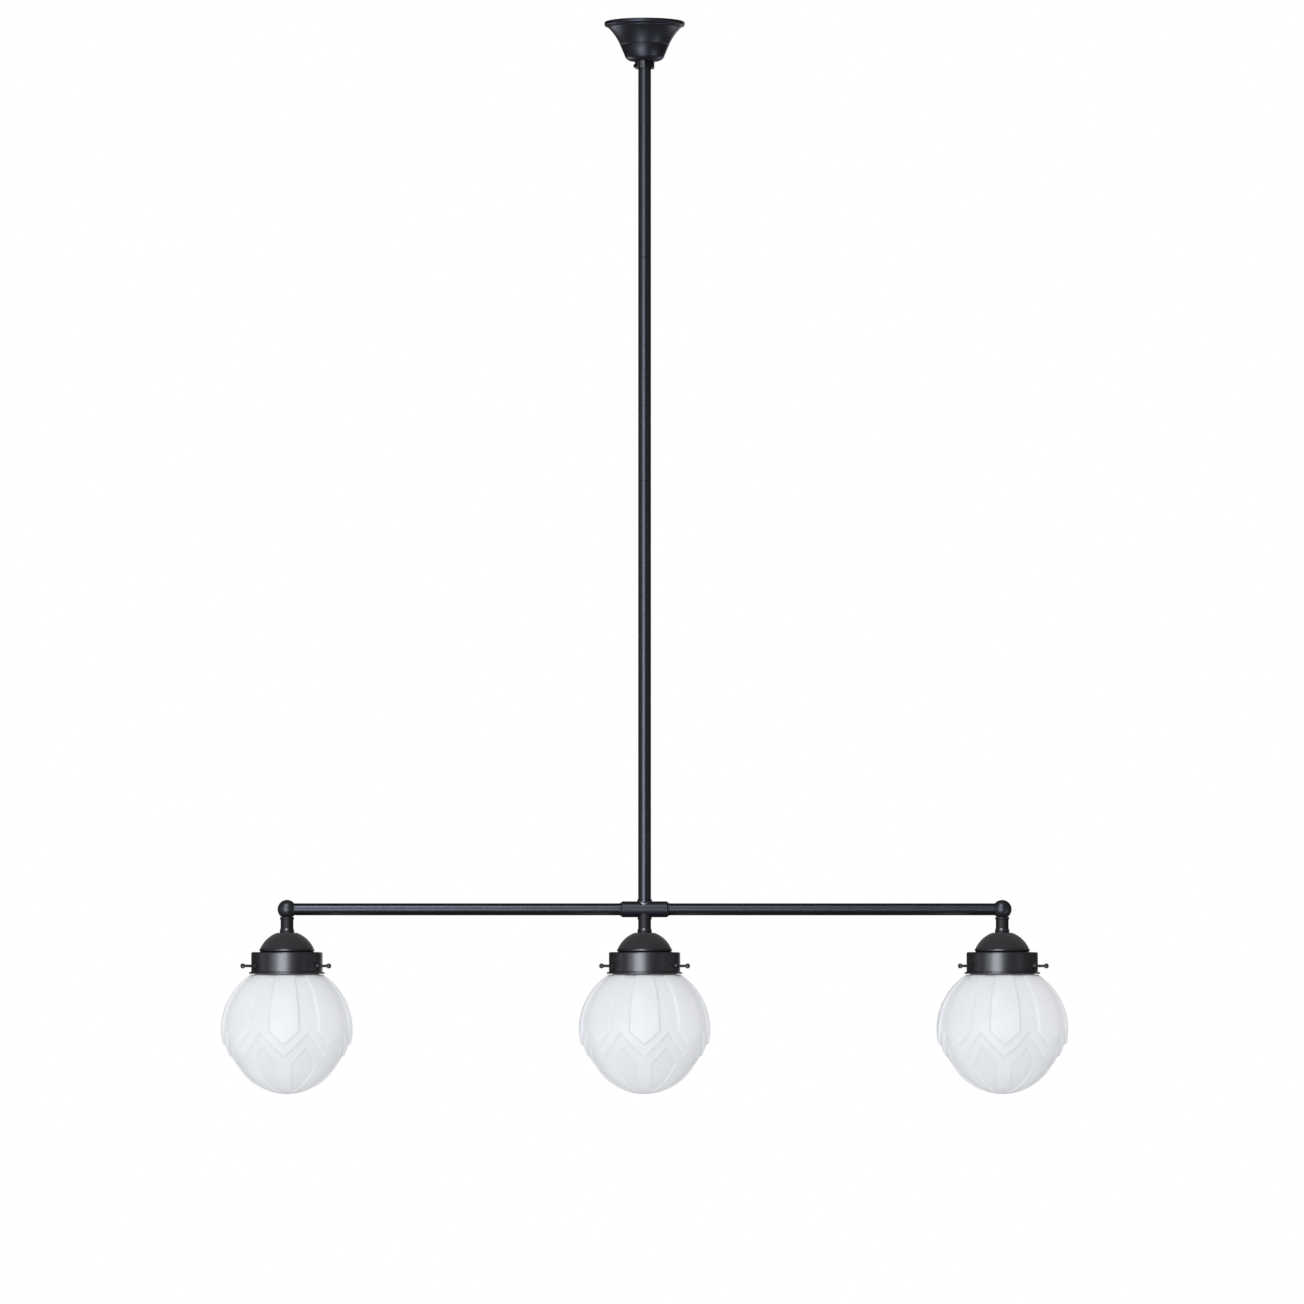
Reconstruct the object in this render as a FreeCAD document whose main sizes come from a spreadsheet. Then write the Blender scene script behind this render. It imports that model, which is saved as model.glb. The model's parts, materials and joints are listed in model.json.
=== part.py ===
"""Three-lamp rail pendant: ceiling canopy, screwed downrod, tee, two arms and three opal glass globes.

Millimetres, +Z up. The origin is on the rod's axis in the plane of the ceiling. The arms lie along X,
and the front of the lamp faces -Y.
"""
import FreeCAD, Part
import math
import os
import Sketcher

V = FreeCAD.Vector
UP = V(0, 0, 1)

doc = FreeCAD.newDocument("rail_pendant")
sizes = doc.addObject("Spreadsheet::Sheet", "sizes")

# Driving dimensions, in millimetres and degrees
DIMENSIONS = {
    # Ceiling bracket and what hangs on it
    "bracket_reach": 38,
    "bracket_width": 18,
    "bracket_thickness": 1.5,
    "bracket_drop": 11,
    "bracket_bend_start": 17,
    "bracket_bend_run": 4,
    "bracket_ear_reach": 28,
    "bracket_ear_width": 13,
    "slot_spacing": 58,
    "slot_length": 12,
    "slot_width": 4.5,
    "nipple_radius": 5,
    "nipple_bore": 3.75,
    "thread_clearance": 0.05,
    "hole_clearance": 0.3,
    "nut_across_flats": 14,
    "nut_height": 4,
    "nipple_stickout": 2,
    "terminal_length": 16,
    "terminal_width": 15,
    "terminal_height": 11,
    "terminal_offset": 18.5,
    "terminal_pitch": 10,
    "terminal_well": 1.9,
    "terminal_well_depth": 6,
    "terminal_wall": 1.5,
    "terminal_screw_radius": 1.5,
    "terminal_head_radius": 2.7,
    "terminal_head_height": 1.8,
    # Canopy
    "canopy_rim_radius": 47,
    "canopy_lip_height": 4.8,
    "canopy_lip_width": 4.2,
    "canopy_lip_edge": 1,
    "canopy_wall": 1,
    "canopy_height": 45.4,
    "canopy_shoulder_drop": 1.4,
    "canopy_waist_radius": 29.2,
    "canopy_waist_depth": 25.5,
    "canopy_flare_radius": 62,
    "canopy_base_radius": 16.9,
    "canopy_corner_reach": 6.6,
    "canopy_corner_rise": 6.5,
    "canopy_corner_radius": 8.2,
    "collar_radius": 11.5,
    "collar_height": 9.3,
    "collar_edge": 0.6,
    "collar_clearance": 0.1,
    "collar_screw_height": 2.8,
    "collar_screw_radius": 1.5,
    "collar_screw_azimuth": 205,
    "collar_head_radius": 2,
    "collar_head_length": 2.2,
    # Downrod
    "rod_radius": 7.5,
    "rod_wall": 1.5,
    "rod_edge": 0.3,
    "rod_plug_length": 14,
    "rod_entry": 1,
    "rod_upper_length": 258,
    "rod_middle_length": 260,
    "rod_lower_length": 488,
    "coupler_length": 25,
    "saddle_height": 2.3,
    "saddle_straight": 3,
    "saddle_flare": 0.7,
    "saddle_flare_height": 3.6,
    "saddle_flare_radius": 10,
    # Tee and arms
    "tee_radius": 9.3,
    "tee_length": 55,
    "tee_socket_depth": 17,
    "tee_edge": 1.4,
    "wire_way_radius": 4.5,
    "arm_radius": 7,
    "arm_wall": 1.2,
    "arm_reach": 416,
    "arm_bead_width": 2,
    "arm_bead_height": 0.4,
    "arm_plug_length": 14,
    "ball_radius": 11,
    "ball_arm_seat": 8.4,
    "ball_stub_seat": 9,
    # Drop stub and dome cap
    "stub_radius": 7.45,
    "stub_top_ring_radius": 7.9,
    "stub_top_ring_height": 3,
    "stub_foot_radius": 8.4,
    "stub_foot_height": 1.9,
    "stub_foot_flare": 1.8,
    "stub_length": 18.3,
    "dome_radius": 33.9,
    "dome_wall": 1,
    "dome_height": 22.4,
    "dome_crown_radius": 11.7,
    "dome_hem_height": 1.4,
    "dome_hem_width": 0.6,
    # Gallery that holds the glass
    "gallery_radius": 41.5,
    "gallery_wall": 1,
    "gallery_height": 25.3,
    "gallery_corner": 2,
    "gallery_lip_radius": 44,
    "gallery_lip_height": 2,
    "gallery_lip_edge": 0.7,
    "gallery_lip_flare": 1,
    "screw_drop": 16.1,
    "screw_count": 3,
    "screw_radius": 1.3,
    "screw_clearance": 0.1,
    "screw_tip_gap": 0.3,
    "screw_knob_radius": 2.1,
    "screw_knob_length": 3.4,
    "screw_knob_edge": 0.6,
    "screw_end": 59.7,
    "boss_base_radius": 3.6,
    "boss_end_radius": 2.4,
    "boss_length": 4,
    "boss_round": 0.8,
    # Lamp holder
    "locknut_height": 3,
    "holder_neck_radius": 8.5,
    "holder_neck_height": 4,
    "holder_cap_height": 18,
    "holder_radius": 19.5,
    "holder_cap_slope": 7,
    "holder_wall": 2,
    "holder_body_length": 36,
    "holder_groove_start": 6,
    "holder_groove_width": 2,
    "holder_groove_depth": 1,
    "holder_floor_depth": 10,
    "holder_floor_height": 3,
    "socket_radius": 13.35,
    "socket_wall": 0.5,
    "socket_length": 19,
    "contact_radius": 3.5,
    "contact_height": 3,
    # Glass globe
    "globe_radius": 76.5,
    "globe_shoulder_gap": 0.8,
    "globe_shoulder_radius": 41.9,
    "globe_neck_radius": 36.8,
    "globe_neck_bore": 33.3,
    "globe_lip_radius": 39.2,
    "globe_lip_height": 4.5,
    "band_step": 3.1,
    "chevron_step": 5.5,
    "ground_step": 6.8,
    "glass_inside_step": 9.8,
    "pole_swell": 3.7,
    "petal_count": 8,
    "petal_half_angle": 13.3,
    "petal_top_latitude": 60,
    "petal_shoulder_latitude": 1.1,
    "petal_point_latitude": 13.2,
    "band_valley_latitude": 2.4,
    "band_point_latitude": 25.5,
    "panel_top_latitude": 16.3,
    "panel_side_latitude": 33.9,
    "panel_foot_latitude": 78,
    "swell_start_latitude": 38,
    "stem_half_angle": 7.9,
}

for row, (word, value) in enumerate(DIMENSIONS.items(), start=1):
    sizes.set(f"A{row}", word.replace("_", " "))
    sizes.set(f"B{row}", str(value))
    sizes.setAlias(f"B{row}", word)
doc.recompute()


def size(expression):
    """The present value of an expression over the sheet."""
    value = sizes.evalExpression(expression)
    return getattr(value, "Value", value)


# Levels below the ceiling, each an expression over the sheet
BRACKET_UNDERSIDE = "(sizes.bracket_drop + sizes.bracket_thickness)"
ROD_TOP = f"({BRACKET_UNDERSIDE} + sizes.nut_height + sizes.nipple_stickout)"
UPPER_SEAM = f"({ROD_TOP} + sizes.rod_upper_length)"
LOWER_SEAM = f"({UPPER_SEAM} + sizes.rod_middle_length)"
ROD_FOOT = f"({LOWER_SEAM} + sizes.rod_lower_length)"
ARM_LEVEL = f"({ROD_FOOT} + sizes.saddle_height + sizes.tee_radius)"
COLLAR_TOP = "sizes.canopy_height"
COLLAR_FOOT = "(sizes.canopy_height + sizes.collar_height)"

# Levels below the arms' axis, used for every lamp
STUB_FOOT = "(sizes.ball_stub_seat + sizes.stub_length)"
GALLERY_TOP = f"({STUB_FOOT} + sizes.dome_height)"
GALLERY_FOOT = f"({GALLERY_TOP} + sizes.gallery_height)"
SCREW_LEVEL = f"({GALLERY_TOP} + sizes.screw_drop)"
LOCKNUT_TOP = f"({GALLERY_TOP} + sizes.gallery_wall)"
HOLDER_TOP = f"({LOCKNUT_TOP} + sizes.locknut_height)"
BODY_TOP = f"({HOLDER_TOP} + sizes.holder_cap_height)"
BODY_FOOT = f"({BODY_TOP} + sizes.holder_body_length)"
FLOOR_TOP = f"({BODY_TOP} + sizes.holder_floor_depth)"
FLOOR_FOOT = f"({FLOOR_TOP} + sizes.holder_floor_height)"
SHOULDER = f"({GALLERY_FOOT} + sizes.globe_shoulder_gap)"

PARTS = []


def finish(piece):
    """Count a finished object among the pieces of the lamp."""
    PARTS.append(piece)
    return piece


def place(piece, x="0", z="0"):
    """Move a piece to its lamp or level."""
    piece.setExpression("Placement.Base.x", x)
    piece.setExpression("Placement.Base.z", z)
    return piece


def new_body(name):
    """A solid body that carries the name of its piece."""
    body = doc.addObject("PartDesign::Body", name)
    body.Label = name
    return body


def origin_part(body, role):
    """One of a body's own origin planes or axes."""
    return next(feature for feature in body.Origin.OriginFeatures if feature.Role == role)


def blank_sketch(body, name, role="XZ_Plane", offset=None):
    """An empty sketch on an origin plane, moved along the plane's normal by an expression."""
    sketch = body.newObject("Sketcher::SketchObject", name)
    sketch.AttachmentSupport = [(origin_part(body, role), "")]
    sketch.MapMode = "FlatFace"
    if offset:
        sketch.setExpression("AttachmentOffset.Base.z", offset)
    return sketch


def bind(sketch, kind, references, expression):
    """Add one dimension to a sketch and tie it to the sheet."""
    number = sketch.addConstraint(Sketcher.Constraint(kind, *references, size(expression)))
    sketch.setExpression(f"Constraints[{number}]", expression)


def arc_through(start, end, radius):
    """The short arc from start to end; a positive radius bulges to the left of the way along."""
    chord = end - start
    middle = (start + end) * 0.5
    left = V(-chord.y, chord.x, 0).normalize()
    sagitta = abs(radius) - math.sqrt(radius ** 2 - (chord.Length / 2) ** 2)
    return Part.Arc(start, middle + left * math.copysign(sagitta, radius), end)


def outline(sketch, corners):
    """Draw a closed outline. A corner is (x, y), or (x, y, radius) where an arc leaves it.

    The three are expressions. A radius that starts with a minus sign bulges to the right.
    """
    points = [V(size(corner[0]), size(corner[1]), 0) for corner in corners]
    for number, corner in enumerate(corners):
        start = points[number]
        end = points[(number + 1) % len(points)]
        if len(corner) == 3:
            sketch.addGeometry(arc_through(start, end, size(corner[2])), False)
        else:
            sketch.addGeometry(Part.LineSegment(start, end), False)
    ends = []
    for number, point in enumerate(points):
        forward = sketch.getPoint(number, 1).distanceToPoint(point) < 0.001
        ends.append((1, 2) if forward else (2, 1))
    for number in range(len(corners)):
        following = (number + 1) % len(corners)
        joint = (number, ends[number][1], following, ends[following][0])
        sketch.addConstraint(Sketcher.Constraint("Coincident", *joint))
    for number, corner in enumerate(corners):
        first = ends[number][0]
        for axis, kind, value in ((-2, "DistanceX", corner[0]), (-1, "DistanceY", corner[1])):
            if value == "0":
                sketch.addConstraint(Sketcher.Constraint("PointOnObject", number, first, axis))
            else:
                bind(sketch, kind, (-1, 1, number, first), value)
        if len(corner) == 3:
            bind(sketch, "Radius", (number,), corner[2].lstrip("-"))


def circle(sketch, x, y, radius):
    """Draw a circle whose centre and radius are expressions."""
    shape = Part.Circle(V(size(x), size(y), 0), UP, size(radius))
    number = sketch.addGeometry(shape, False)
    for axis, kind, value in ((-2, "DistanceX", x), (-1, "DistanceY", y)):
        if value == "0":
            sketch.addConstraint(Sketcher.Constraint("PointOnObject", number, 3, axis))
        else:
            bind(sketch, kind, (-1, 1, number, 3), value)
    bind(sketch, "Radius", (number,), radius)


def rectangle(sketch, low_x, low_y, high_x, high_y):
    """Draw a rectangle between two corners."""
    outline(sketch, [(low_x, low_y), (high_x, low_y), (high_x, high_y), (low_x, high_y)])


def turn(body, corners, axis="V_Axis", name="profile", cut=False):
    """Revolve an outline about an axis of its sketch, as a lathe or a spinning chuck does."""
    sketch = blank_sketch(body, f"{body.Name}_{name}")
    outline(sketch, corners)
    kind = "PartDesign::Groove" if cut else "PartDesign::Revolution"
    feature = body.newObject(kind, f"{body.Name}_{name}_turned")
    feature.Profile = sketch
    feature.ReferenceAxis = (sketch, [axis])
    feature.Angle = 360
    return feature


def drill(body, name, role, x, y, radius, start=None, depth=None, reverse=False):
    """Cut a round hole square to an origin plane, right through unless it has a depth."""
    sketch = blank_sketch(body, f"{body.Name}_{name}", role, start)
    circle(sketch, x, y, radius)
    return pocket(body, name, sketch, depth, reverse)


def pocket(body, name, sketch, depth=None, reverse=False):
    """Cut a sketch into a body, right through both ways unless it has a depth."""
    feature = body.newObject("PartDesign::Pocket", f"{body.Name}_{name}_cut")
    feature.Profile = sketch
    if depth:
        feature.setExpression("Length", depth)
        feature.Reversed = reverse
    else:
        feature.Type = 1
        feature.Midplane = True
    return feature


def pad(body, name, sketch, length, midplane=False, reverse=False):
    """Raise a sketch by a length."""
    feature = body.newObject("PartDesign::Pad", f"{body.Name}_{name}_raised")
    feature.Profile = sketch
    feature.setExpression("Length", length)
    feature.Midplane = midplane
    feature.Reversed = reverse
    return feature


def tube(name, outside, bore, top, foot):
    """An upright tube between two levels."""
    body = new_body(name)
    turn(body, [(bore, f"-{top}"), (outside, f"-{top}"), (outside, f"-{foot}"), (bore, f"-{foot}")])
    return body


def hexagon_nut(name, top, height):
    """A hexagon nut on the nipple's thread, its upper face at the level top."""
    prism = doc.addObject("Part::Prism", f"{name}_blank")
    prism.Polygon = 6
    prism.setExpression("Circumradius", "sizes.nut_across_flats / (2 * cos(30 deg))")
    prism.setExpression("Height", height)
    hole = doc.addObject("Part::Cylinder", f"{name}_hole")
    hole.setExpression("Radius", "sizes.nipple_radius + sizes.thread_clearance")
    hole.setExpression("Height", height)
    for tool in (prism, hole):
        tool.setExpression("Placement.Base.z", f"-({top} + {height})")
    nut = doc.addObject("Part::Cut", name)
    nut.Base = prism
    nut.Tool = hole
    nut.Label = name
    return nut


def group(name, members):
    """Keep identical loose pieces together as one node of separate solids."""
    compound = doc.addObject("Part::Compound", name)
    compound.Links = members
    compound.Label = name
    return compound


THREAD_HOLE = "sizes.nipple_radius + sizes.thread_clearance"
NIPPLE_END = "(sizes.nipple_radius + sizes.hole_clearance)"


def ceiling_bracket():
    """Bent strap: two slotted feet on the ceiling, a dropped middle, and an ear for the terminals."""
    body = new_body("ceiling_bracket")
    sheet = "sizes.bracket_thickness"
    bend = "sizes.bracket_bend_start"
    knee = f"({bend} - sizes.bracket_bend_run)"
    half = [
        ("sizes.bracket_reach", f"-{sheet}"),
        ("sizes.bracket_reach", "0"),
        (bend, "0"),
        (knee, "-sizes.bracket_drop"),
    ]
    under = [(f"({knee} + {sheet})", f"-{BRACKET_UNDERSIDE}"), (f"({bend} + {sheet})", f"-{sheet}")]
    mirrored = [(f"-{x}", z) for x, z in (under + half)[::-1]]
    sketch = blank_sketch(body, "ceiling_bracket_strap")
    outline(sketch, half + mirrored + under)
    pad(body, "strap", sketch, "sizes.bracket_width", midplane=True)
    ear = blank_sketch(body, "ceiling_bracket_ear", "XY_Plane", f"-{BRACKET_UNDERSIDE}")
    half_ear = "sizes.bracket_ear_width / 2"
    rectangle(ear, f"-{half_ear}", "0", half_ear, "sizes.bracket_ear_reach")
    pad(body, "ear", ear, sheet)
    for side, sign in (("left", "-"), ("right", "")):
        centre = f"{sign}sizes.slot_spacing / 2"
        reach = "(sizes.slot_length - sizes.slot_width) / 2"
        half_width = "sizes.slot_width / 2"
        for end, step in (("inner", "-"), ("outer", "+")):
            drill(body, f"slot_{side}_{end}", "XY_Plane", f"{centre} {step} {reach}", "0", half_width)
        slot = blank_sketch(body, f"ceiling_bracket_slot_{side}", "XY_Plane")
        rectangle(slot, f"{centre} - {reach}", f"-{half_width}", f"{centre} + {reach}", half_width)
        pocket(body, f"slot_{side}", slot)
    drill(body, "nipple_hole", "XY_Plane", "0", "0", "sizes.nipple_radius + sizes.hole_clearance")
    drill(body, "ear_hole", "XY_Plane", "0", "sizes.terminal_offset",
          "sizes.terminal_screw_radius + sizes.screw_clearance")
    return finish(body)


def ceiling_fixings():
    """Hollow nipple through the strap, a nut above and below it, and the terminal block on the ear."""
    top = "(sizes.bracket_drop - sizes.nut_height - sizes.nipple_stickout)"
    finish(tube("ceiling_nipple", "sizes.nipple_radius", "sizes.nipple_bore", top,
                f"({ROD_TOP} + sizes.rod_plug_length - sizes.rod_entry)"))
    upper = hexagon_nut("upper_nut", "(sizes.bracket_drop - sizes.nut_height)", "sizes.nut_height")
    lower = hexagon_nut("lower_nut", BRACKET_UNDERSIDE, "sizes.nut_height")
    finish(group("nipple_nuts", [upper, lower]))

    block = new_body("terminal_block")
    base = blank_sketch(block, "terminal_block_base", "XY_Plane", f"-{BRACKET_UNDERSIDE}")
    half_length = "sizes.terminal_length / 2"
    half_width = "sizes.terminal_width / 2"
    rectangle(base, f"-{half_length}", f"sizes.terminal_offset - {half_width}",
              half_length, f"sizes.terminal_offset + {half_width}")
    pad(block, "base", base, "sizes.terminal_height", reverse=True)
    foot = f"-({BRACKET_UNDERSIDE} + sizes.terminal_height)"
    for side, sign in (("left", "-"), ("right", "")):
        drill(block, f"well_{side}", "XY_Plane", f"{sign}sizes.terminal_pitch / 2",
              "sizes.terminal_offset", "sizes.terminal_well", foot, "sizes.terminal_well_depth", True)
    drill(block, "fixing_hole", "XY_Plane", "0", "sizes.terminal_offset",
          "sizes.terminal_screw_radius + sizes.thread_clearance")
    finish(block)

    screw = new_body("terminal_screw")
    seat = "-sizes.bracket_drop"
    head_top = f"{seat} + sizes.terminal_head_height"
    turn(screw, [
        ("0", head_top),
        ("sizes.terminal_head_radius", head_top),
        ("sizes.terminal_head_radius", seat),
        ("sizes.terminal_screw_radius", seat),
        ("sizes.terminal_screw_radius", f"{foot} + sizes.terminal_wall"),
        ("0", f"{foot} + sizes.terminal_wall"),
    ])
    screw.setExpression("Placement.Base.y", "sizes.terminal_offset")
    finish(screw)


def canopy():
    """Spun cup with a flat lip and flared side, and the screwed collar that carries it."""
    cup = new_body("canopy_cup")
    lip_inner = "(sizes.canopy_rim_radius - sizes.canopy_lip_width)"
    foot_radius = "(sizes.canopy_base_radius + sizes.canopy_corner_reach)"
    foot_depth = "(sizes.canopy_height - sizes.canopy_corner_rise)"
    shoulder = "(sizes.canopy_lip_height + sizes.canopy_shoulder_drop)"
    edge = "sizes.canopy_lip_edge"
    wall = "sizes.canopy_wall"
    hole = "(sizes.rod_radius + sizes.hole_clearance)"
    turn(cup, [
        (hole, "-sizes.canopy_height"),
        ("sizes.canopy_base_radius", "-sizes.canopy_height", "-sizes.canopy_corner_radius"),
        (foot_radius, f"-{foot_depth}"),
        ("sizes.canopy_waist_radius", "-sizes.canopy_waist_depth", "sizes.canopy_flare_radius"),
        (lip_inner, f"-{shoulder}"),
        (f"(sizes.canopy_rim_radius - {edge})", "-sizes.canopy_lip_height"),
        ("sizes.canopy_rim_radius", f"-(sizes.canopy_lip_height - {edge})"),
        ("sizes.canopy_rim_radius", f"-{edge}"),
        (f"(sizes.canopy_rim_radius - {edge})", "0"),
        (f"({lip_inner} - {wall})", "0"),
        (f"({lip_inner} - {wall})", f"-({shoulder} - {wall})", "-sizes.canopy_flare_radius"),
        (f"(sizes.canopy_waist_radius - {wall})", "-sizes.canopy_waist_depth"),
        (f"({foot_radius} - {wall})", f"-{foot_depth}", f"(sizes.canopy_corner_radius - {wall})"),
        (f"(sizes.canopy_base_radius - {wall} / 2)", f"-(sizes.canopy_height - {wall})"),
        (hole, f"-(sizes.canopy_height - {wall})"),
    ])
    finish(cup)

    collar = new_body("canopy_collar")
    bore = "(sizes.rod_radius + sizes.collar_clearance)"
    edge = "sizes.collar_edge"
    turn(collar, [
        (bore, f"-{COLLAR_FOOT}"),
        (f"(sizes.collar_radius - {edge})", f"-{COLLAR_FOOT}"),
        ("sizes.collar_radius", f"-({COLLAR_FOOT} - {edge})"),
        ("sizes.collar_radius", f"-({COLLAR_TOP} + {edge})"),
        (f"(sizes.collar_radius - {edge})", f"-{COLLAR_TOP}"),
        (bore, f"-{COLLAR_TOP}"),
    ])
    screw_depth = f"({COLLAR_FOOT} - sizes.collar_screw_height)"
    drill(collar, "screw_hole", "YZ_Plane", "0", f"-{screw_depth}",
          "sizes.collar_screw_radius + sizes.screw_clearance", depth="sizes.collar_radius", reverse=True)
    collar.setExpression("Placement.Rotation.Angle", "sizes.collar_screw_azimuth")
    finish(collar)

    screw = new_body("collar_screw")
    head_end = "(sizes.collar_radius + sizes.collar_head_length)"
    radial_screw(screw, "(sizes.rod_radius + sizes.screw_tip_gap)", "sizes.collar_screw_radius", [
        ("sizes.collar_radius", "sizes.collar_screw_radius"),
        ("sizes.collar_radius", "sizes.collar_head_radius"),
        (head_end, "sizes.collar_head_radius"),
        (head_end, "0"),
    ])
    screw.setExpression("Placement.Rotation.Angle", "sizes.collar_screw_azimuth")
    place(screw, z=f"-{screw_depth}")
    finish(screw)


def radial_screw(body, tip, radius, head):
    """A screw along +X from its tip, with the head's outline in (distance, radius) pairs."""
    turn(body, [(tip, "0"), (tip, radius)] + head, "H_Axis")


def rod_section(name, top, foot):
    """Round tube with a tapped plug brazed into each end and its edges just broken."""
    body = new_body(name)
    edge = "sizes.rod_edge"
    inside = "(sizes.rod_radius - sizes.rod_wall)"
    plug = "sizes.rod_plug_length"
    turn(body, [
        (THREAD_HOLE, f"-{top}"),
        (f"sizes.rod_radius - {edge}", f"-{top}"),
        ("sizes.rod_radius", f"-({top} + {edge})"),
        ("sizes.rod_radius", f"-({foot} - {edge})"),
        (f"sizes.rod_radius - {edge}", f"-{foot}"),
        (THREAD_HOLE, f"-{foot}"),
        (THREAD_HOLE, f"-({foot} - {plug})"),
        (inside, f"-({foot} - {plug})"),
        (inside, f"-({top} + {plug})"),
        (THREAD_HOLE, f"-({top} + {plug})"),
    ])
    return finish(body)


def downrod():
    """Three tubes in line, hidden couplers at their seams, and the saddle washer on the tee."""
    rod_section("downrod_upper", ROD_TOP, UPPER_SEAM)
    rod_section("downrod_middle", UPPER_SEAM, LOWER_SEAM)
    rod_section("downrod_lower", LOWER_SEAM, ROD_FOOT)
    for name, seam in (("coupler_upper", UPPER_SEAM), ("coupler_lower", LOWER_SEAM)):
        half = "sizes.coupler_length / 2"
        finish(tube(name, "sizes.nipple_radius", "sizes.nipple_bore", f"({seam} - {half})",
                    f"({seam} + {half})"))
    finish(tube("rod_nipple", "sizes.nipple_radius", "sizes.nipple_bore",
                f"({ROD_FOOT} - sizes.rod_plug_length + sizes.rod_entry)",
                f"({ARM_LEVEL} - {NIPPLE_END})"))

    saddle = new_body("saddle_washer")
    hole = "sizes.nipple_radius + sizes.hole_clearance"
    top = "sizes.tee_radius + sizes.saddle_height"
    foot = f"({top} - sizes.saddle_straight)"
    turn(saddle, [
        (hole, "0"),
        ("sizes.rod_radius + sizes.saddle_flare", "0"),
        ("sizes.rod_radius + sizes.saddle_flare", f"{foot} - sizes.saddle_flare_height",
         "-sizes.saddle_flare_radius"),
        ("sizes.rod_radius", foot),
        ("sizes.rod_radius", top),
        (hole, top),
    ])
    drill(saddle, "curve", "YZ_Plane", "0", "0", "sizes.tee_radius")
    place(saddle, z=f"-{ARM_LEVEL}")
    finish(saddle)


def tee():
    """Sleeve along X with a socket for each arm, a wire way between, and tapped top and bottom."""
    body = new_body("tee_fitting")
    half = "(sizes.tee_length / 2)"
    edge = "sizes.tee_edge"
    socket = "(sizes.arm_radius + sizes.thread_clearance)"
    socket_end = f"({half} - sizes.tee_socket_depth)"
    right = [
        (socket_end, "sizes.wire_way_radius"),
        (socket_end, socket),
        (half, socket),
        (half, f"sizes.tee_radius - {edge}"),
        (f"({half} - {edge})", "sizes.tee_radius"),
    ]
    left = [(f"-{x}", radius) for x, radius in right[::-1]]
    turn(body, right + left, "H_Axis")
    drill(body, "upper_thread", "XY_Plane", "0", "0", THREAD_HOLE, depth="sizes.tee_radius", reverse=True)
    drill(body, "lower_thread", "XY_Plane", "0", "0", THREAD_HOLE, depth="sizes.tee_radius")
    place(body, z=f"-{ARM_LEVEL}")
    finish(body)


def arm(side, turned):
    """Tube from the tee to the ball, with a bead beside the tee and a tapped plug at the ball."""
    body = new_body(f"arm_{side}")
    bead_start = "(sizes.tee_length / 2)"
    bead_end = f"({bead_start} + sizes.arm_bead_width)"
    bead = "(sizes.arm_radius + sizes.arm_bead_height)"
    start = f"({bead_start} - sizes.tee_socket_depth)"
    end = "(sizes.arm_reach - sizes.ball_arm_seat)"
    plug = f"({end} - sizes.arm_plug_length)"
    inside = "(sizes.arm_radius - sizes.arm_wall)"
    turn(body, [
        (start, inside),
        (start, "sizes.arm_radius"),
        (bead_start, "sizes.arm_radius"),
        (bead_start, bead),
        (f"({bead_end} - sizes.arm_bead_height)", bead),
        (bead_end, "sizes.arm_radius"),
        (end, "sizes.arm_radius"),
        (end, THREAD_HOLE),
        (plug, THREAD_HOLE),
        (plug, inside),
    ], "H_Axis")
    body.Placement.Rotation = FreeCAD.Rotation(UP, turned)
    place(body, z=f"-{ARM_LEVEL}")
    finish(body)


def ball_elbow(side, turned):
    """Turned ball with a flat for the arm, a flat for the stub, and tapped holes that meet inside."""
    body = new_body(f"ball_elbow_{side}")
    seat = "sizes.ball_arm_seat"
    flat = f"sqrt(sizes.ball_radius ^ 2 - {seat} ^ 2)"
    turn(body, [
        (f"-{seat}", "0"),
        (f"-{seat}", flat, "sizes.ball_radius"),
        ("sizes.ball_radius", "0"),
    ], "H_Axis")
    drill(body, "arm_thread", "YZ_Plane", "0", "0", THREAD_HOLE, depth="sizes.ball_radius")
    drill(body, "stub_thread", "XY_Plane", "0", "0", THREAD_HOLE, depth="sizes.ball_radius")
    sketch = blank_sketch(body, f"{body.Name}_foot", "XY_Plane", "-sizes.ball_stub_seat")
    circle(sketch, "0", "0", "sizes.ball_radius")
    pocket(body, "foot", sketch, "sizes.ball_radius")
    body.Placement.Rotation = FreeCAD.Rotation(UP, turned)
    sign = "" if side == "right" else "-"
    place(body, f"{sign}sizes.arm_reach", f"-{ARM_LEVEL}")
    finish(body)


def arm_nipple(side):
    """Hollow nipple that joins an arm's plug to its ball."""
    inner = "(sizes.arm_reach - sizes.ball_arm_seat - sizes.arm_plug_length + sizes.rod_entry)"
    outer = f"(sizes.arm_reach - {NIPPLE_END})"
    body = new_body(f"arm_nipple_{side}")
    turn(body, [
        (inner, "sizes.nipple_bore"),
        (inner, "sizes.nipple_radius"),
        (outer, "sizes.nipple_radius"),
        (outer, "sizes.nipple_bore"),
    ], "H_Axis")
    body.Placement.Rotation = FreeCAD.Rotation(UP, 0 if side == "right" else 180)
    place(body, z=f"-{ARM_LEVEL}")
    return body


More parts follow.
